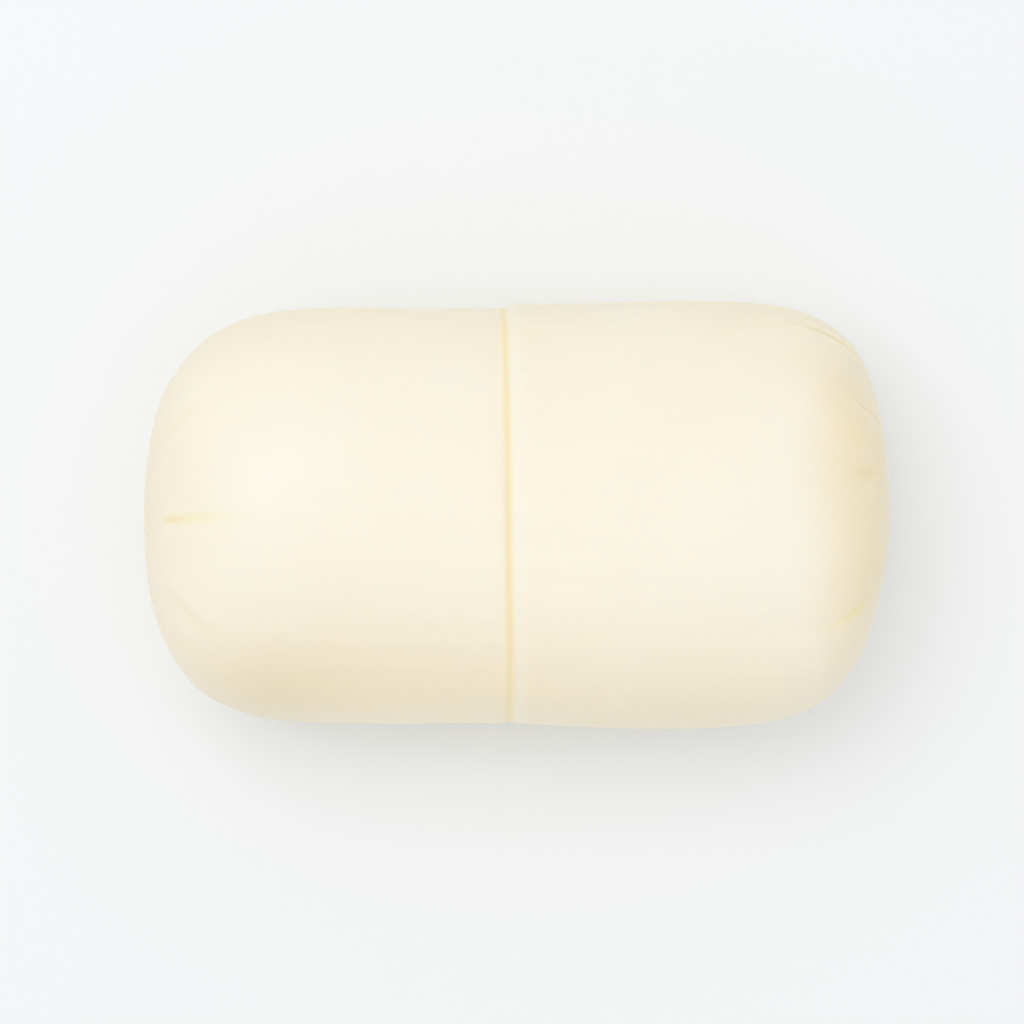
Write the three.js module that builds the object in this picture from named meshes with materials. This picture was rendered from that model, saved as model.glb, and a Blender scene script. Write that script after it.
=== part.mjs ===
// A loaf of mozzarella, one solid piece of stretched curd. It lies on a flat resting face, is nipped in
// by one crease round its waist, and has both ends pinched shut, with pleats running out of each pinch.
// Millimetres, +X along the loaf, +Z up. The origin is on the resting face, under the middle of the loaf.
import * as THREE from "three";

const { clamp, degToRad, euclideanModulo, lerp, smoothstep } = THREE.MathUtils;

// Driving dimensions
const LENGTH = 170;
const WIDTH = 98.2;
const HEIGHT = 78;

// Cross-section: an upper and a lower half that meet at the widest line
const WIDEST_HEIGHT = 36; // height of the widest line over the resting face
const SETTLE_DEPTH = 7; // how far the unloaded underside would reach below the resting face
const SETTLE_BLEND = 3; // height over which the underside rounds into the resting face

// The crease round the waist, a narrow slit between soft shoulders
const WAIST = {
  x: -2, // place along the loaf
  lean: 0.0115, // travel along X for each millimetre of -Y
  wander: 0.88, // how far its line strays to either side
  wanderPhase: -0.15,
  follow: 14, // how far from the crease the surface follows its line
  shoulderDepth: 0.2,
  shoulderReach: 2.2,
  slitDepth: 0.25,
  slitReach: 0.75,
};
const TAPER_REACH = 24; // how far from the waist a half draws in towards it

// The two halves. Each pleat has its angle round the loaf at the shoulder (0 is +Y, 90 is up) and the turn
// it makes on its way to the pinch, in degrees, then the stretch it covers, from and to, as distances from
// the pinch, its depth, and its reach to either side. A spread makes it reach that much further on the side
// of the smaller angles, as a fold does that overlaps the curd beside it. A hollow is a broad, shallow pleat.
const LEFT = {
  side: -1,
  bluntness: 6.9, // exponent of the end's outline: more is squarer
  crest: 1, // exponent of the height's fall towards the tip: less holds the top level for longer
  squareness: 2.22, // exponent of the cross-section: 2 is an ellipse, more is fuller at the corners
  girth: 0.98, // share of the full width
  taper: 0.2, // how much it draws in towards the waist
  shift: -0.45, // sideways offset
  tilt: 0.3, // how much its shoulder towards +Y stands up, and the one towards -Y lies down
  pinch: { y: -1.5, z: 31 },
  pleats: [
    { angle: 10, turn: -8, from: 14, to: 52, depth: 0.6, reach: 1.8 },
    { angle: 57.2, turn: 5, from: 42, to: 76, depth: 0.35, reach: 1.7 },
    { angle: 90, turn: 2, from: 40, to: 80, depth: 0.3, reach: 0.8 },
    { angle: 127, turn: -44, from: 42, to: 80, depth: 0.3, reach: 1.3 },
    { angle: 178, turn: 10, from: 12, to: 50, depth: 0.6, reach: 1.7 },
    { angle: 222, turn: -6, from: 10, to: 46, depth: 0.6, reach: 2 },
    { angle: 268, turn: 5, from: 8, to: 44, depth: 0.7, reach: 1.6 },
    { angle: 316, turn: 9, from: 10, to: 48, depth: 0.5, reach: 2.1 },
  ],
  hollows: [],
};
const RIGHT = {
  side: 1,
  bluntness: 8.6,
  crest: 0.65,
  squareness: 2.34,
  girth: 1,
  taper: 0.6,
  shift: 0.25,
  tilt: -2,
  pinch: { y: 12, z: 29 },
  pleats: [
    { angle: 23.5, turn: 2, from: 32, to: 76, depth: 1.5, reach: 0.8, spread: 1.4 },
    { angle: 54.1, turn: 5.6, from: 24, to: 60, depth: 0.7, reach: 1, spread: 3 },
    { angle: 82, turn: 5.6, from: 34, to: 57, depth: 0.5, reach: 1.4 },
    { angle: 119.3, turn: 11.5, from: 40, to: 70, depth: 0.3, reach: 1 },
    { angle: 180, turn: 14, from: 12, to: 54, depth: 0.6, reach: 1.8 },
    { angle: 228, turn: 4, from: 8, to: 46, depth: 0.7, reach: 1.7 },
    { angle: 272, turn: -6, from: 8, to: 42, depth: 0.6, reach: 1.9 },
    { angle: 318, turn: -12, from: 10, to: 50, depth: 0.6, reach: 2 },
  ],
  hollows: [{ angle: 7, turn: 0, from: 42, to: 80, depth: 0.4, reach: 9 }], // beside the first pleat
};
const PLEAT_FADE = { full: 0.22, waning: 0.3 }; // shares of a pleat's length: deepest from, shallower from
const PLEAT_LIP = { height: 0.3, offset: 2.4, reach: 1.5 }; // raised edges, as shares of a pleat's own size
const PLEAT_TURN_END = 0.55; // share of the way to the pinch on which a pleat makes its turn
const PLEAT_SHARPNESS = 1.2; // 2 is a round-bottomed valley, 1 a sharp one
const GATHER = { height: 0.3, peak: 38, reach: 18 }; // swelling of the curd between two pleats
const PINCH_DIMPLE = { depth: 1.0, reach: 5 };

const HAND_RIPPLE = { height: 0.4, length: 70, phase: -0.5 }; // slow unevenness left by shaping it by hand

// Rows of the surface from tip to tip, and its columns from pleat to pleat
const CAP_LENGTH = 50; // where the cap's rows hand over to the body's, back from the tip
const CAP_ROWS = 16;
const BODY_ROWS = 11;
const CREASE_SPACING = 0.12; // row spacing at the crease, against an even spacing
const CREASE_CROWDING = 1.3;
const ROW_TOLERANCE = 1e-6;
const PLEAT_COLUMNS = 11;
const PLEAT_CROWDING = 0.75; // 0 is even columns, 1 closes them up fully at the pleats

const CURD = { color: "#f7f0da", roughness: 0.42, metalness: 0 };

const bell = (distance, reach) => Math.exp(-((distance / reach) ** 2));
const valley = (distance, reach) => Math.exp(-(Math.abs(distance / reach) ** PLEAT_SHARPNESS));
const wave = (x, { height, length, phase }) => height * Math.sin((2 * Math.PI * x) / length + phase);
const signedPower = (value, power) => Math.sign(value) * Math.abs(value) ** power;
const tipDistance = (end) => LENGTH / 2 - end.side * WAIST.x;

// Share of the full cross-section that is left at a distance from the waist: 1 on the body, 0 at the tip.
function fullness(end, distance) {
  return Math.sqrt(1 - (distance / tipDistance(end)) ** end.bluntness);
}

// Where a ray from the middle of the cap meets the end's outline, by halving steps. Angle 0 is at the tip.
function capDistance(end, rayAngle) {
  const middle = tipDistance(end) - CAP_LENGTH;
  let distance = middle;
  for (let step = CAP_LENGTH / 2; step > ROW_TOLERANCE; step /= 2) {
    const next = distance + step;
    const outlineAngle = Math.atan2((WIDTH / 2) * fullness(end, next), next - middle);
    distance = outlineAngle > rayAngle ? next : distance;
  }
  return distance;
}

// The rows of one end, from its tip to the waist: even steps of angle round the cap, then steps along the
// body that close up towards the crease.
function endRows(end) {
  const tip = tipDistance(end);
  const distances = [tip];
  for (let i = 1; i < CAP_ROWS; i++) {
    distances.push(capDistance(end, (Math.PI / 2) * (i / CAP_ROWS)));
  }
  for (let i = 0; i <= BODY_ROWS; i++) {
    const share = 1 - i / BODY_ROWS;
    distances.push((tip - CAP_LENGTH) * share * lerp(CREASE_SPACING, 1, share ** CREASE_CROWDING));
  }
  return distances.map((distance) => ({ end, distance, full: fullness(end, distance) }));
}

// A pleat's angle round the loaf where the section has this fullness.
function pleatAngle(pleat, full) {
  return degToRad(pleat.angle + pleat.turn * Math.min(1 - full, PLEAT_TURN_END));
}

// A column's place between the pleats, with the columns between two pleats crowded towards both.
function crowded(column) {
  return column - (PLEAT_CROWDING * Math.sin(2 * Math.PI * column)) / (2 * Math.PI);
}

// The angle of a column at one end. A whole column number lies along that pleat.
function columnAngle(end, column, full) {
  const { pleats } = end;
  const index = Math.floor(column);
  const angleOf = (k) => {
    const turns = Math.floor(k / pleats.length);
    return pleatAngle(pleats[euclideanModulo(k, pleats.length)], full) + 2 * Math.PI * turns;
  };
  return lerp(angleOf(index), angleOf(index + 1), crowded(column) - index);
}

// A property of this row's end, which the two ends share halfway where they meet at the waist.
function blended(row, name) {
  const ownShare = smoothstep(row.distance, 0, WAIST.shoulderReach);
  return lerp((LEFT[name] + RIGHT[name]) / 2, row.end[name], ownShare);
}

// A point of the plain loaf: the cross-section at this row, before anything is pressed into it.
function plainPoint(row, angle, target) {
  const { end, distance, full } = row;
  const drawnIn = blended(row, "taper") * bell(distance, TAPER_REACH);
  const power = 2 / blended(row, "squareness");
  const cosine = signedPower(Math.cos(angle), power);
  const sine = signedPower(Math.sin(angle), power);
  const halfWidth = (WIDTH / 2) * blended(row, "girth") - drawnIn;
  const halfHeight = sine > 0 ? HEIGHT - WIDEST_HEIGHT - drawnIn : WIDEST_HEIGHT + SETTLE_DEPTH;
  const y = blended(row, "shift") + end.pinch.y * (1 - full) + halfWidth * full * cosine;
  const z = lerp(end.pinch.z, WIDEST_HEIGHT, full) + halfHeight * full ** end.crest * sine;
  const creaseLine = -WAIST.lean * y + WAIST.wander * Math.sin(angle + WAIST.wanderPhase);
  const x = WAIST.x + end.side * distance + creaseLine * bell(distance, WAIST.follow);
  return target.set(x, y, z);
}

// Depth that the waist crease presses in at a distance from its line.
function creaseDepth(distance) {
  const shoulders = WAIST.shoulderDepth * bell(distance, WAIST.shoulderReach);
  return shoulders + WAIST.slitDepth * bell(distance, WAIST.slitReach);
}

// Depth that one pleat presses in: a valley along its line between two raised lips, fading at both ends.
function pleatDepth(pleat, angle, full, fromPinch) {
  const along = (fromPinch - pleat.from) / (pleat.to - pleat.from);
  const fade = smoothstep(along, 0, PLEAT_FADE.full) * (1 - smoothstep(along, PLEAT_FADE.waning, 1));
  const turn = angle - pleatAngle(pleat, full);
  const across = (WIDTH / 2) * full * Math.atan2(Math.sin(turn), Math.cos(turn));
  const reach = across < 0 ? pleat.reach * (pleat.spread ?? 1) : pleat.reach;
  const fromLip = Math.abs(across) - PLEAT_LIP.offset * reach;
  const lips = PLEAT_LIP.height * bell(fromLip, PLEAT_LIP.reach * reach);
  return pleat.depth * fade * (valley(across, reach) - lips);
}

// Depth pressed into an end: its pleats, hollows and pinch dimple, less the swelling between pleats.
function endDepth(row, column, angle) {
  const { end, distance, full } = row;
  const fromPinch = (WIDTH / 2) * full + tipDistance(end) - distance;
  const between = full * Math.sin(Math.PI * crowded(column)) ** 2;
  const folds = [...end.pleats, ...end.hollows];
  const folded = folds.reduce((sum, fold) => sum + pleatDepth(fold, angle, full, fromPinch), 0);
  const swelling = GATHER.height * between * bell(fromPinch - GATHER.peak, GATHER.reach);
  return folded + PINCH_DIMPLE.depth * bell(fromPinch, PINCH_DIMPLE.reach) - swelling;
}

// Unevenness left by the hand, outwards. It leaves the outline seen from above and the pinches alone.
function handShaping(row, rightShare, x, angle) {
  const tilt = lerp(LEFT.tilt, RIGHT.tilt, rightShare) * Math.sin(2 * angle);
  const ripple = wave(x, HAND_RIPPLE) * Math.sin(angle) ** 2;
  return row.full * (tilt + ripple);
}

// Height after the underside has settled: what would be below the resting face lies flat on it.
function settle(z) {
  const blend = Math.max(SETTLE_BLEND - Math.abs(z), 0) / SETTLE_BLEND;
  return Math.max(z, 0) + (blend ** 2 * SETTLE_BLEND) / 4;
}

// The loaf's surface: the rows and columns of a sphere with its poles at the two pinches, moved onto the
// loaf and then pressed in towards a line along its core.
function loafGeometry() {
  const rows = [...endRows(RIGHT), ...endRows(LEFT).slice(0, -1).reverse()];
  const pleatCount = LEFT.pleats.length;
  const geometry = new THREE.SphereGeometry(1, pleatCount * PLEAT_COLUMNS, rows.length - 1);
  const { position, uv } = geometry.attributes;
  const point = new THREE.Vector3();
  const core = new THREE.Vector3();
  const coreEnd = (LENGTH - WIDTH) / 2;
  const bodyEnd = LENGTH / 2 - CAP_LENGTH;
  for (let i = 0; i < position.count; i++) {
    const row = rows[Math.round((1 - uv.getY(i)) * (rows.length - 1))];
    const column = uv.getX(i) * pleatCount;
    const rightShare = smoothstep(row.end.side * row.distance, -bodyEnd, bodyEnd);
    const leftAngle = columnAngle(LEFT, column, row.full);
    const rightAngle = columnAngle(RIGHT, column, row.full);
    const angle = lerp(leftAngle, rightAngle, rightShare);
    plainPoint(row, angle, point);
    const pressed = creaseDepth(row.distance) + endDepth(row, column, angle);
    core.set(clamp(point.x, -coreEnd, coreEnd), 0, WIDEST_HEIGHT);
    core.sub(point).normalize();
    point.addScaledVector(core, pressed - handShaping(row, rightShare, point.x, angle));
    position.setXYZ(i, point.x, point.y, settle(point.z));
  }
  return geometry;
}

// Brings the surface to the driving dimensions, centred over the origin with its resting face at z = 0.
function fitToSize(geometry) {
  geometry.computeBoundingBox();
  const size = geometry.boundingBox.getSize(new THREE.Vector3());
  const centre = geometry.boundingBox.getCenter(new THREE.Vector3());
  geometry.translate(-centre.x, -centre.y, 0);
  geometry.scale(LENGTH / size.x, WIDTH / size.y, HEIGHT / size.z);
  geometry.computeVertexNormals();
  return geometry;
}

const loaf = new THREE.Mesh(fitToSize(loafGeometry()), new THREE.MeshStandardMaterial(CURD));
loaf.name = "mozzarella";

const part = new THREE.Group();
part.add(loaf);
export default part;
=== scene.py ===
import math

import bpy
import numpy as np
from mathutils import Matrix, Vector


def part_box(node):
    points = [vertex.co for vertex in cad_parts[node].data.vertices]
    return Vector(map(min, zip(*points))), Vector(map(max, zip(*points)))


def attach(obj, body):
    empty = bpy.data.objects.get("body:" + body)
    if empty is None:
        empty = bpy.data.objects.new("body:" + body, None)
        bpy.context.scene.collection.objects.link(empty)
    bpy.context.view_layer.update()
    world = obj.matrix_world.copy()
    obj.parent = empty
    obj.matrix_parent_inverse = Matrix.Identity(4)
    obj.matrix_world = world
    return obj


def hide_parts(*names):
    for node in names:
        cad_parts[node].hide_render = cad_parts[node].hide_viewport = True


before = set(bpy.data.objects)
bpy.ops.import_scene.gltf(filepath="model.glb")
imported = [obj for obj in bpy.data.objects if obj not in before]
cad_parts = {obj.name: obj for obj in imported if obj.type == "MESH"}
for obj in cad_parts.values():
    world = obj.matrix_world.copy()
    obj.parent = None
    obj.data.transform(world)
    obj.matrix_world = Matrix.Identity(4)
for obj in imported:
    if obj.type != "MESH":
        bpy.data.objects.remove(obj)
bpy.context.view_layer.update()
mm = 0.001  # sizes below are in millimetres
print("frame loaded:", ", ".join(sorted(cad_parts)))


# e to the minus of (distance over reach) squared
def bell(distance, reach):
    return np.exp(-((distance / reach) ** 2))


# the same with a power of its own: below 2 the bottom is sharp
def valley(distance, reach, power):
    return np.exp(-(np.abs(distance / reach) ** power))


# 0 before start, 1 after end, and 3t^2 - 2t^3 between them
def smoothStep(value, start, end):
    t = np.clip((value - start) / (end - start), 0, 1)
    return t * t * (3 - 2 * t)


# weight times b and the rest times a
def blend(a, b, weight):
    return a + (b - a) * weight


# the value raised to a power, with its sign kept
def signedPower(value, power):
    return np.sign(value) * np.abs(value) ** power


# plane waves of about one wavelength in seeded directions, summed to a height of about 1;
# stretch draws the pattern out along each axis
def swells(points, wavelength, seed, stretch=(1, 1, 1), count=28, spread=0.3):
    draw = np.random.default_rng(seed)
    heading = draw.normal(size=(3, count))
    heading /= np.linalg.norm(heading, axis=0)
    phase = draw.uniform(0, 2 * np.pi, count)
    waves = 2 * np.pi / wavelength * draw.uniform(1 - spread, 1 + spread, count) * heading
    return np.sin((points / np.array(stretch)) @ waves + phase).sum(axis=-1) * math.sqrt(2 / count)


# The loaf: outline, waist crease and end pleats as in the solid it replaces, then the skin's fine relief.
lowCorner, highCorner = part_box("mozzarella")
length, width, height = (highCorner - lowCorner) / mm

loaf = {
    "rows": 120,              # from each tip to the waist
    "outlineSteps": 4000,     # along an outline, to measure it
    "pleatColumns": 50,       # from one pleat to the next
    "widestHeight": 36.0,     # of the section's widest line
    "settleDepth": 7.0,       # underside before it settles
    "settleBlend": 3.0,       # rounding where it meets the floor
    "capLength": 50.0,        # the two ends' columns blend between the caps
    "pleatCrowding": 0.75,    # columns close up at the pleats
    "creaseCrowding": 9.0,    # and rows at the waist
    "creaseCrowdingReach": 4.5,
    "waist": {
        "x": -2.0, "lean": 0.0115, "wander": 0.88, "wanderPhase": -0.15, "follow": 14.0,
        "taperReach": 24.0,                                    # where the halves narrow towards it
        "shoulderDepth": 0.2, "shoulderReach": 2.2, "slitDepth": 0.25, "slitReach": 0.75,
        "warm": 0.85, "warmReach": (0.65, 0.95),               # colour inside, a painted shade, and its reach at +Y and -Y
        "paintedHighlight": 0.25, "paleOffset": 2.6, "paleReach": 1.4,     # painted highlight on its lip on the right
    },
    # pleats: angle at the shoulder and turn towards the pinch in degrees, stretch from the pinch, depth,
    # reach, and how many times further it reaches towards the smaller angles; hollows are broad pleats
    # streaks of painted shade and shadow: the same angle, turn and stretch, then reach, how yellow, how
    # warm and how dark
    "left": {
        "side": -1, "bluntness": 6.9, "crest": 1.0, "squareness": 2.22,
        "girth": 0.98, "taper": 0.2, "shift": -0.45, "tilt": 0.3, "pinchY": -1.5, "pinchZ": 31.0,
        "tipShade": 0.15, "flankShade": 0.7,                     # how far the deeper cream, a painted shade, takes over
        "pleats": [
            (10, -8, 14, 52, 0.6, 1.8, 1),
            (57.2, 5, 42, 76, 0.35, 1.7, 1),
            (90, 2, 40, 80, 0.25, 0.8, 1),
            (127, -44, 42, 80, 0.25, 2.0, 1),
            (178, 10, 12, 50, 0.6, 1.7, 1),
            (222, -6, 10, 46, 0.6, 2.0, 1),
            (268, 5, 8, 44, 0.7, 1.6, 1),
            (316, 9, 10, 48, 0.5, 2.1, 1),
        ],
        "hollows": [],
        "streaks": [
            (90, 2, 40, 56, 0.5, 0, 0.6, 0.1),
            (90, 2, 42, 80, 1.0, 0.35, 0, 0),
            (127, -44, 42, 76, 1.4, 0, 0, 0.1),
        ],
    },
    "right": {
        "side": 1, "bluntness": 8.6, "crest": 0.65, "squareness": 2.34,
        "girth": 1.0, "taper": 0.6, "shift": 0.25, "tilt": -2.0, "pinchY": 12.0, "pinchZ": 29.0,
        "tipShade": 1.0, "flankShade": 0.4,
        "pleats": [
            (23.5, 2, 32, 76, 1.5, 0.8, 1.4),
            (54.1, 5.6, 24, 60, 0.7, 1.0, 3),
            (82, 5.6, 34, 57, 0.5, 1.4, 1),
            (119.3, 11.5, 40, 70, 0.2, 1.0, 1),
            (180, 14, 12, 54, 0.6, 1.8, 1),
            (228, 4, 8, 46, 0.7, 1.7, 1),
            (272, -6, 8, 42, 0.6, 1.9, 1),
            (318, -12, 10, 50, 0.6, 2.0, 1),
        ],
        "hollows": [(7, 0, 42, 80, 0.4, 9.0, 1)],
        "streaks": [
            (22.7, 2, 34, 74, 0.8, 0.6, 0.1, 0.8),
            (82, 5.6, 36, 52, 1.2, 0.15, 0.15, 0.1),
            (119.3, 11.5, 44, 66, 1.0, 0.7, 0, 0),
        ],
    },
    "ends": {
        "fadeFull": 0.22, "fadeWaning": 0.3, "turnEnd": 0.55,            # along a pleat
        "sharpness": 1.2,                                                # power of its valley
        "lipHeight": 0.3, "lipOffset": 2.4, "lipReach": 1.5,             # beside it
        "creaseYellow": 0.1, "lipHighlight": 0.2,                             # its colours: painted shade in the valley, painted highlight on the lips
        "gatherHeight": 0.3, "gatherPeak": 38.0, "gatherReach": 18.0,    # swelling between pleats
        "dimpleDepth": 1.0, "dimpleReach": 5.0,                          # at the pinch
    },
    "skin": {
        "rippleHeight": 0.4, "rippleLength": 70.0, "ripplePhase": -0.5,  # uneven from shaping by hand
        "dentHeight": 0.16, "dentLength": 26.0, "dentSeed": 3,           # thumb-sized hollows
        "fibreHeight": 0.05, "fibreWidth": 6.0, "fibreSeed": 5,          # stretched strands
        "fibreStretch": (9, 1, 1),                                       # along the loaf
        "puckerHeight": 0.05, "puckerCount": 46, "puckerReach": 3.2,     # short wrinkles across the crease
        "puckerWander": 2.5, "puckerWanderLength": 18.0, "puckerSeed": 7,
        "wrinkleHeight": 0.16, "wrinkleCount": 5.0,                      # between two pleats
        "wrinklePeak": 24.0, "wrinkleReach": 13.0,                       # from the pinch
        "wrinkleWander": 1.8, "wrinkleWanderLength": 16.0, "wrinkleSeed": 11,
        # painted shade: deeper cream where the skin turns to the tips and to -Y, but not near the widest
        # line
        "tipShadeTurn": (0.47, 0.76), "flankShadeTurn": (0.34, 0.88), "shadeRimFade": (0.2, 0.6),
        # patches of painted highlight: x, y, reach, how pale; and of painted shade: x, y, reach, how deep,
        # how dark
        "highlightPatches": [(-51, 10, 18, 0.5), (55, -4, 18, 0.5), (76, -27, 12, 0.25)],
        "shadePatches": [(-56, -43, 16, 0.6, 0.25), (74, 33, 9, 0.6, 0.12)],
    },
}
waist, leftEnd, rightEnd, ends, skin = (loaf[part] for part in ("waist", "left", "right", "ends", "skin"))


# distance from the waist to the tip: half the length, less the waist's own place on that side
def tipOf(end):
    return length / 2 - end["side"] * waist["x"]


# share of the full section left at a distance from the waist: root of 1 - (distance over tip)^bluntness
def fullness(end, distance):
    return np.sqrt(np.clip(1 - (distance / tipOf(end)) ** end["bluntness"], 0, 1))


# row distances from the waist: even steps of arc length along the outline, closed up near the crease
def rowDistances(end):
    turn = np.linspace(0, np.pi / 2, loaf["outlineSteps"])
    roundTip = tipOf(end) * np.sin(turn) ** (2 / end["bluntness"])
    outline = np.union1d(roundTip, np.linspace(0, tipOf(end), loaf["outlineSteps"]))
    rise = width / 2 * fullness(end, outline)
    middle = (outline[1:] + outline[:-1]) / 2
    crowd = 1 + loaf["creaseCrowding"] * bell(middle, loaf["creaseCrowdingReach"])
    reached = np.concatenate([[0], np.cumsum(np.hypot(np.diff(outline), np.diff(rise)) * crowd)])
    return np.interp(np.linspace(0, reached[-1], loaf["rows"]), reached, outline)


# place of a column between the pleats, moved by a sine so that columns crowd towards the whole numbers
def crowded(column):
    return column - loaf["pleatCrowding"] * np.sin(2 * np.pi * column) / (2 * np.pi)


# angle of a line round an end in degrees: its own, plus its turn times the way to the pinch up to turnEnd
def lineAngle(angle, turn, full):
    return angle + turn * np.minimum(1 - full, ends["turnEnd"])


# angle of each column at each row: whole columns lie on a pleat, the others between it and the next one
def columnAngles(end, column, full):
    pleats = np.array(end["pleats"])
    onPleat = lineAngle(pleats[:, 0], pleats[:, 1], full)
    onPleat = np.hstack([onPleat, onPleat[:, :1] + 360])
    index = np.floor(column).astype(int)
    return np.radians(blend(onPleat[:, index], onPleat[:, index + 1], crowded(column) - index))


# one half before anything is pressed into it: a squared ellipse scaled by the fullness and carried from
# the waist to the pinch, along the crease's line near the waist; returns the points and where they lie
def plainHalf(end, column):
    distance = rowDistances(end)[::-1][:, None]
    full = fullness(end, distance)
    bodyEnd = length / 2 - loaf["capLength"]
    rightShare = smoothStep(end["side"] * distance, -bodyEnd, bodyEnd)
    angle = blend(columnAngles(leftEnd, column, full), columnAngles(rightEnd, column, full), rightShare)

    ownShare = smoothStep(distance, 0, waist["shoulderReach"])
    girth, shift, squareness, taper = (blend((leftEnd[name] + rightEnd[name]) / 2, end[name], ownShare)
                                       for name in ("girth", "shift", "squareness", "taper"))
    drawnIn = taper * bell(distance, waist["taperReach"])
    cosine = signedPower(np.cos(angle), 2 / squareness)
    sine = signedPower(np.sin(angle), 2 / squareness)
    upper = height - loaf["widestHeight"] - drawnIn
    lower = loaf["widestHeight"] + loaf["settleDepth"]
    rise = np.where(sine > 0, upper, lower) * full ** end["crest"] * sine
    y = shift + end["pinchY"] * (1 - full) + (width / 2 * girth - drawnIn) * full * cosine
    z = blend(end["pinchZ"], loaf["widestHeight"], full) + rise
    creaseLine = -waist["lean"] * y + waist["wander"] * np.sin(angle + waist["wanderPhase"])
    x = waist["x"] + end["side"] * distance + creaseLine * bell(distance, waist["follow"])
    place = {"column": column, "angle": angle, "distance": distance, "full": full,
             "rightShare": rightShare, "fromPinch": width / 2 * full + tipOf(end) - distance}
    return np.stack([x, y, z], axis=-1), place


# for a line round an end, the millimetres across it and a share that rises and fades along its stretch
def besideLine(line, place):
    angle, turn, start, stop = line
    along = (place["fromPinch"] - start) / (stop - start)
    fade = smoothStep(along, 0, ends["fadeFull"]) * (1 - smoothStep(along, ends["fadeWaning"], 1))
    off = place["angle"] - np.radians(lineAngle(angle, turn, place["full"]))
    return width / 2 * place["full"] * np.arctan2(np.sin(off), np.cos(off)), fade


# shares of a pleat's valley and of its two lips: bells beside its line, the valley's with a sharp bottom
def pleatShares(pleat, place):
    *line, _, ownReach, spread = pleat
    across, fade = besideLine(line, place)
    reach = np.where(across < 0, ownReach * spread, ownReach)
    lips = bell(np.abs(across) - ends["lipOffset"] * reach, ends["lipReach"] * reach)
    return fade * valley(across, reach, ends["sharpness"]), fade * lips


# depth pressed into a half: waist crease, pleats, hollows and pinch, less the swelling between pleats
def pressedDepth(end, place):
    distance, fromPinch = place["distance"], place["fromPinch"]
    pressed = waist["shoulderDepth"] * bell(distance, waist["shoulderReach"])
    pressed = pressed + waist["slitDepth"] * bell(distance, waist["slitReach"])
    for pleat in end["pleats"] + end["hollows"]:
        inside, lips = pleatShares(pleat, place)
        depth = pleat[4]
        pressed = pressed + depth * (inside - ends["lipHeight"] * lips)
    pressed = pressed + ends["dimpleDepth"] * bell(fromPinch, ends["dimpleReach"])
    between = place["full"] * np.sin(np.pi * crowded(place["column"])) ** 2
    gather = ends["gatherHeight"] * between * bell(fromPinch - ends["gatherPeak"], ends["gatherReach"])
    return pressed - gather


# the skin's relief outwards: tilt and ripple left by the hand, hollows, strands, and sines round the loaf
# that wander, as puckers at the crease and wrinkles at the pinches
def skinRelief(plain, place):
    angle = place["angle"]
    tilt = blend(leftEnd["tilt"], rightEnd["tilt"], place["rightShare"])
    ripple = np.sin(2 * np.pi * plain[..., 0] / skin["rippleLength"] + skin["ripplePhase"])
    raised = tilt * np.sin(2 * angle) + skin["rippleHeight"] * ripple * np.sin(angle) ** 2
    raised = raised + skin["dentHeight"] * swells(plain, skin["dentLength"], skin["dentSeed"])
    strands = swells(plain, skin["fibreWidth"], skin["fibreSeed"], skin["fibreStretch"])
    raised = raised + skin["fibreHeight"] * strands

    wander = skin["puckerWander"] * swells(plain, skin["puckerWanderLength"], skin["puckerSeed"])
    pucker = np.sin(skin["puckerCount"] * angle + wander)
    nearCrease = bell(place["distance"] - skin["puckerReach"], skin["puckerReach"])
    raised = raised + skin["puckerHeight"] * pucker * nearCrease

    wander = skin["wrinkleWander"] * swells(plain, skin["wrinkleWanderLength"], skin["wrinkleSeed"])
    wrinkle = np.sin(2 * np.pi * skin["wrinkleCount"] * place["column"] + wander)
    nearPinch = bell(place["fromPinch"] - skin["wrinklePeak"], skin["wrinkleReach"])
    raised = raised + skin["wrinkleHeight"] * wrinkle * nearPinch
    return place["full"] * raised


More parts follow.
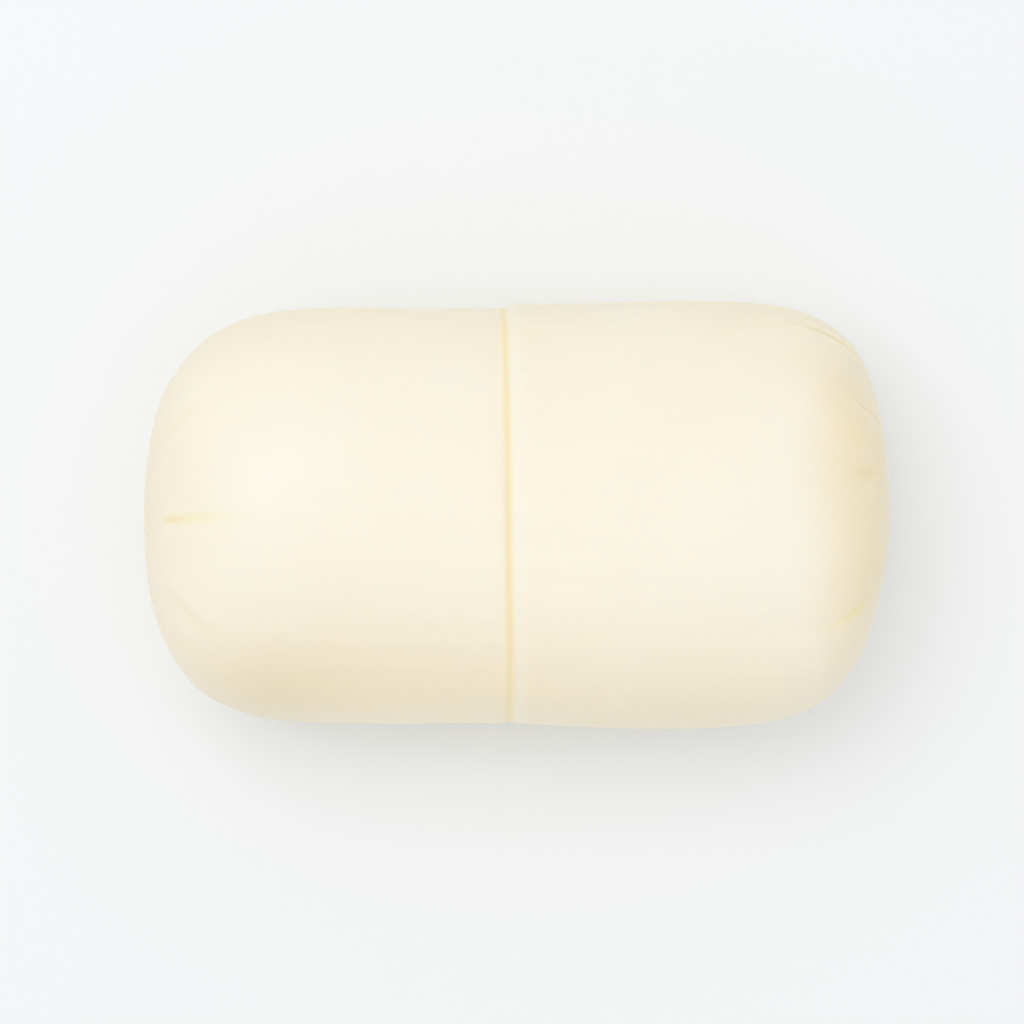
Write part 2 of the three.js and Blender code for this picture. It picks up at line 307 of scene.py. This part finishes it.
# shares of the curd's colours, each the strongest of its bells: painted shade in the crease and along the
# streaks, painted shadow along streaks and in patches, painted highlight on lips and in patches, and the
# deeper cream of painted shade where the skin turns away from the top
def paintShares(end, plain, inward, place):
    angle, distance = place["angle"], place["distance"]
    x, y = plain[..., 0], plain[..., 1]
    yellow, paintedShadow = 0 * angle, 0 * angle
    # painted shade in the waist crease
    warm = waist["warm"] * bell(distance, blend(*waist["warmReach"], (1 - np.cos(angle)) / 2))
    # painted highlight on the waist's lip on the right
    lipShare = waist["paintedHighlight"] if end["side"] > 0 else 0
    paintedHighlight = lipShare * bell(distance - waist["paleOffset"], waist["paleReach"]) + 0 * angle
    # highlight patches: painted highlight on the upper side
    for patchX, patchY, reach, share in skin["highlightPatches"]:
        patch = bell(np.hypot(x - patchX, y - patchY), reach) * (np.sin(angle) > 0)
        paintedHighlight = np.maximum(paintedHighlight, share * patch)
    # painted shade in the pleats' valleys and painted highlight on their lips
    for pleat in end["pleats"] + end["hollows"]:
        inside, lips = pleatShares(pleat, place)
        yellow = np.maximum(yellow, ends["creaseYellow"] * inside)
        paintedHighlight = np.maximum(paintedHighlight, ends["lipHighlight"] * lips)
    # streaks along the folds: painted shade in yellow and warm, and painted shadow
    for *line, reach, yellowShare, warmShare, shadowShare in end["streaks"]:
        across, fade = besideLine(line, place)
        streak = fade * bell(across, reach)
        yellow = np.maximum(yellow, yellowShare * streak)
        warm = np.maximum(warm, warmShare * streak)
        paintedShadow = np.maximum(paintedShadow, shadowShare * streak)

    # painted shade: a deeper cream towards the tips and on the -Y flank, faded out near the widest line
    tipShade, flankShade = (blend(leftEnd[name], rightEnd[name], place["rightShare"])
                          for name in ("tipShade", "flankShade"))
    paintedShade = np.maximum(tipShade * smoothStep(np.abs(inward[..., 0]), *skin["tipShadeTurn"]),
                      flankShade * smoothStep(inward[..., 1], *skin["flankShadeTurn"]))
    # shade patches: painted shade on the flanks, with painted shadow
    for patchX, patchY, reach, shadeShare, shadowShare in skin["shadePatches"]:
        patch = bell(np.hypot(x - patchX, y - patchY), reach)
        paintedShade = np.maximum(paintedShade, shadeShare * patch)
        paintedShadow = np.maximum(paintedShadow, shadowShare * patch)
    paintedShade = paintedShade * smoothStep(-inward[..., 2], *skin["shadeRimFade"])
    return {"yellow": yellow, "warm": warm, "paintedShadow": paintedShadow, "paintedHighlight": paintedHighlight, "paintedShade": paintedShade}


# heights kept from passing the floor: the greater of z and 0, plus a quarter of the rounding's size times
# (1 - |z| over that size) squared
def settled(z):
    over = np.clip(loaf["settleBlend"] - np.abs(z), 0, None) / loaf["settleBlend"]
    return np.clip(z, 0, None) + over ** 2 * loaf["settleBlend"] / 4


# one half from its tip to the waist: the plain half moved towards the loaf's core line by depth less
# relief, then settled on the floor
def halfSurface(end, column):
    plain, place = plainHalf(end, column)
    coreEnd = (length - width) / 2
    core = np.zeros_like(plain)
    core[..., 0] = np.clip(plain[..., 0], -coreEnd, coreEnd)
    core[..., 2] = loaf["widestHeight"]
    inward = core - plain
    inward /= np.linalg.norm(inward, axis=-1, keepdims=True)
    pressed = pressedDepth(end, place) - skinRelief(plain, place)
    points = plain + inward * pressed[..., None]
    points[..., 2] = settled(points[..., 2])
    return points, paintShares(end, plain, inward, place)


# a closed surface from rows of points whose first and last rows are poles: quads between rows, and a fan
# of triangles at each pole
def closedMesh(name, rows, values):
    rowCount, columnCount = rows.shape[:2]
    ring = np.arange((rowCount - 2) * columnCount).reshape(rowCount - 2, columnCount) + 1
    after = np.roll(ring, -1, axis=1)
    quads = np.stack([ring[:-1], ring[1:], after[1:], after[:-1]], axis=-1).reshape(-1, 4)
    lastPole = ring[-1, -1] + 1
    firstFan = np.stack([np.zeros_like(ring[0]), ring[0], after[0]], axis=-1)
    lastFan = np.stack([np.full_like(ring[-1], lastPole), after[-1], ring[-1]], axis=-1)

    def flatten(grid):  # each pole once, and the rows between them
        return np.concatenate([grid[:1, 0], grid[1:-1].reshape(-1, *grid.shape[2:]), grid[-1:, 0]])

    mesh = bpy.data.meshes.new(name)
    mesh.from_pydata(flatten(rows).tolist(), [], firstFan.tolist() + quads.tolist() + lastFan.tolist())
    mesh.polygons.foreach_set("use_smooth", np.ones(len(mesh.polygons), bool))
    for attribute, grid in values.items():
        mesh.attributes.new(attribute, "FLOAT", "POINT").data.foreach_set("value", flatten(grid))
    mesh.validate()
    piece = bpy.data.objects.new(name, mesh)
    bpy.context.scene.collection.objects.link(piece)
    return piece


# both halves joined at the waist, then moved and scaled exactly to the solid's box
def makeLoaf():
    columnCount = len(leftEnd["pleats"]) * loaf["pleatColumns"]
    column = np.arange(columnCount) / loaf["pleatColumns"]
    right, rightShares = halfSurface(rightEnd, column)
    left, leftShares = halfSurface(leftEnd, column)
    rows = np.concatenate([right, left[-2::-1]])
    low, high = rows.min(axis=(0, 1)), rows.max(axis=(0, 1))
    middle = np.array([(low[0] + high[0]) / 2, (low[1] + high[1]) / 2, 0])
    span = high - low * np.array([1, 1, 0])   # the height counts from the floor
    fitted = (rows - middle) * np.array([length, width, height]) / span
    base = np.array([(lowCorner.x + highCorner.x) / 2, (lowCorner.y + highCorner.y) / 2, lowCorner.z])
    shares = {name: np.concatenate([rightShares[name], leftShares[name][-2::-1]]) for name in rightShares}
    return closedMesh("mozzarella_loaf", fitted * mm + base, shares)


loafPiece = makeLoaf()
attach(loafPiece, "root")
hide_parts("mozzarella")
print("loaf made:", len(loafPiece.data.polygons), "faces")


# sRGB hex to linear red, green, blue and alpha, by the standard's own curve
def colour(hexText):
    parts = np.array([int(hexText[i:i + 2], 16) for i in (1, 3, 5)]) / 255
    linear = np.where(parts <= 0.04045, parts / 12.92, ((parts + 0.055) / 1.055) ** 2.4)
    return (*linear.tolist(), 1.0)


# adds a node and returns its outputs: a setting goes to the socket of that identifier, or else to the
# node itself
def addNode(tree, kind, settings, links=()):
    node = tree.nodes.new(kind)
    sockets = {socket.identifier: socket for socket in node.inputs}
    for name, value in settings.items():
        if name in sockets:
            sockets[name].default_value = value
        else:
            setattr(node, name, value)
    for name, source in dict(links).items():
        tree.links.new(source, sockets[name])
    return {socket.identifier: socket for socket in node.outputs}


curd = {
    # the side and deep creams are painted shade; milky is the curd's own milky mottle and also painted
    # highlight
    "top": "#f8f0dd", "side": "#f6ecd3", "paintedShade": "#f3e5c3", "milkyAndHighlight": "#faf5e8",
    "yellow": "#fefecc", "warm": "#f8e7b6", "paintedShadow": "#e2e0d0",   # painted shade and shadow inside folds
    "sideFrom": 74.0, "sideTo": 50.0,          # heights between which the side's colour, a painted shade, takes over
    # patterns: size, detail and roughness; real strands and grain are finer, and are drawn coarser to show
    "mottle": (34.0, 3.0, 0.5), "fibre": (5.0, 4.0, 0.55), "grain": (1.1, 2.0, 0.5),
    "fibreStretch": (0.14, 1, 1),              # strands run along the loaf
    "milkyFrom": 0.42, "milkyTo": 0.72, "milkyMost": 0.3,        # mottle that turns milky, and how far
    "strandFrom": 0.45, "strandTo": 0.75, "strandMost": 0.12,    # strands that take the side's colour
    "roughness": 0.52, "damp": 0.44, "dampFrom": 0.35, "dampTo": 0.7,
    "fibreBump": (0.35, 0.25), "grainBump": (0.25, 0.12),        # strength and height
    "refraction": 1.4, "wetFilm": 0.08, "filmRoughness": 0.3,
    "scatter": 0.35, "scatterColour": (1.0, 0.8, 0.5), "scatterDepth": 3.5,
}


# Fresh mozzarella: moulded by hand from stretched curd, wet and very pale. The eye gets a cream-white that
# is lit from within, a soft damp sheen and faint strands along the loaf; the colour also carries painted
# light
# and shade: a yellow in the creases, shadow in the folds, deeper cream on the sides and pale highlights.
def freshCurd():
    material = bpy.data.materials.new("fresh_mozzarella_curd")
    material.use_nodes = True
    tree = material.node_tree
    tree.nodes.clear()
    spot = addNode(tree, "ShaderNodeTexCoord", {})["Object"]
    drawnOut = addNode(tree, "ShaderNodeMapping", {"Scale": curd["fibreStretch"]},
                       {"Vector": spot})["Vector"]
    noise = {}
    for name, vector in (("mottle", spot), ("fibre", drawnOut), ("grain", spot)):
        size, detail, roughness = curd[name]
        noise[name] = addNode(tree, "ShaderNodeTexNoise",
                              {"Scale": 1 / (size * mm), "Detail": detail, "Roughness": roughness},
                              {"Vector": vector})["Fac"]
    up = addNode(tree, "ShaderNodeSeparateXYZ", {}, {"Vector": spot})["Z"]
    # the side's colour below the top is painted shade
    low = addNode(tree, "ShaderNodeMapRange",
                  {"interpolation_type": "SMOOTHSTEP",
                   "From Min": curd["sideFrom"] * mm, "From Max": curd["sideTo"] * mm},
                  {"Value": up})["Result"]
    patch = addNode(tree, "ShaderNodeMapRange",
                    {"From Min": curd["milkyFrom"], "From Max": curd["milkyTo"],
                     "To Max": curd["milkyMost"]}, {"Value": noise["mottle"]})["Result"]
    strand = addNode(tree, "ShaderNodeMapRange",
                     {"From Min": curd["strandFrom"], "From Max": curd["strandTo"],
                      "To Max": curd["strandMost"]}, {"Value": noise["fibre"]})["Result"]
    yellow, warm, paintedShadow, paintedHighlight, paintedShade = (addNode(tree, "ShaderNodeAttribute", {"attribute_name": name})["Fac"]
                                      for name in ("yellow", "warm", "paintedShadow", "paintedHighlight", "paintedShade"))

    paint = addNode(tree, "ShaderNodeMix",
                    {"data_type": "RGBA", "A_Color": colour(curd["top"]), "B_Color": colour(curd["side"])},
                    {"Factor_Float": low})["Result_Color"]
    # among these layers the side, deep, yellow, warm and dark colours are painted shade and shadow, and
    # the pale share is a painted highlight
    layers = (("milkyAndHighlight", patch, "MIX"), ("side", strand, "MIX"), ("paintedShade", paintedShade, "MIX"),
              ("milkyAndHighlight", paintedHighlight, "MIX"), ("yellow", yellow, "MULTIPLY"), ("warm", warm, "MIX"),
              ("paintedShadow", paintedShadow, "MULTIPLY"))   # each one over those before it
    for name, share, mixing in layers:
        paint = addNode(tree, "ShaderNodeMix",
                        {"data_type": "RGBA", "blend_type": mixing, "B_Color": colour(curd[name])},
                        {"Factor_Float": share, "A_Color": paint})["Result_Color"]

    sheen = addNode(tree, "ShaderNodeMapRange",
                    {"From Min": curd["dampFrom"], "From Max": curd["dampTo"],
                     "To Min": curd["roughness"], "To Max": curd["damp"]},
                    {"Value": noise["mottle"]})["Result"]
    strength, rise = curd["fibreBump"]
    relief = addNode(tree, "ShaderNodeBump", {"Strength": strength, "Distance": rise * mm},
                     {"Height": noise["fibre"]})["Normal"]
    strength, rise = curd["grainBump"]
    relief = addNode(tree, "ShaderNodeBump", {"Strength": strength, "Distance": rise * mm},
                     {"Height": noise["grain"], "Normal": relief})["Normal"]
    surface = addNode(tree, "ShaderNodeBsdfPrincipled",
                      {"IOR": curd["refraction"], "Subsurface Weight": curd["scatter"],
                       "Subsurface Radius": curd["scatterColour"],
                       "Subsurface Scale": curd["scatterDepth"] * mm,
                       "Coat Weight": curd["wetFilm"], "Coat Roughness": curd["filmRoughness"]},
                      {"Base Color": paint, "Roughness": sheen, "Normal": relief})
    addNode(tree, "ShaderNodeOutputMaterial", {}, {"Surface": surface["BSDF"]})
    return material


loafPiece.data.materials.append(freshCurd())
print("curd material made")

studio = {
    "floor": "#f3f5f7", "floorSpan": 4.0, "floorRoughness": 0.8,       # sizes here are in metres
    "ambient": "#ffffff", "ambientStrength": 0.8,
    "keyFrom": (-0.43, 0.4, 1.85), "keySize": 1.26, "keyPower": 9.4,   # power in watts
}


# a wide pale floor at the loaf's resting height: one square of matt card, which the eye passes over
def makeFloor():
    half = studio["floorSpan"] / 2
    corners = [(-half, -half, 0), (half, -half, 0), (half, half, 0), (-half, half, 0)]
    mesh = bpy.data.meshes.new("floor")
    mesh.from_pydata(corners, [], [(0, 1, 2, 3)])
    floor = bpy.data.objects.new("floor", mesh)
    bpy.context.scene.collection.objects.link(floor)
    material = bpy.data.materials.new("matt_white_card")
    material.use_nodes = True
    surface = material.node_tree.nodes["Principled BSDF"]
    surface.inputs["Base Color"].default_value = colour(studio["floor"])
    surface.inputs["Roughness"].default_value = studio["floorRoughness"]
    mesh.materials.append(material)


# an even white surround with one large soft lamp overhead, a little to the back left
def makeLight():
    world = bpy.data.worlds.new("studio")
    world.use_nodes = True
    background = world.node_tree.nodes["Background"]
    background.inputs["Color"].default_value = colour(studio["ambient"])
    background.inputs["Strength"].default_value = studio["ambientStrength"]
    bpy.context.scene.world = world
    lamp = bpy.data.lights.new("softbox", "AREA")
    lamp.size = studio["keySize"]
    lamp.energy = studio["keyPower"]
    softbox = bpy.data.objects.new("softbox", lamp)
    softbox.location = studio["keyFrom"]
    softbox.rotation_euler = (-Vector(studio["keyFrom"])).to_track_quat("-Z", "Y").to_euler()
    bpy.context.scene.collection.objects.link(softbox)


view = {
    "lens": 100.0, "sensor": 36.0,
    "frameWidth": 235.8,              # what the picture spans at the loaf's widest line
    "aimX": -0.69, "aimY": 0.3,       # the picture's middle
}


# straight down on the loaf, at the distance where the lens spans the frame width
def makeCamera():
    lens = bpy.data.cameras.new("camera")
    lens.lens = view["lens"]
    lens.sensor_width = view["sensor"]
    camera = bpy.data.objects.new("camera", lens)
    distance = view["frameWidth"] * view["lens"] / view["sensor"]
    camera.location = Vector((view["aimX"], view["aimY"], loaf["widestHeight"] + distance)) * mm
    bpy.context.scene.collection.objects.link(camera)
    bpy.context.scene.camera = camera


makeFloor()
makeLight()
makeCamera()
bpy.context.scene.view_settings.view_transform = "Standard"
print("studio made")
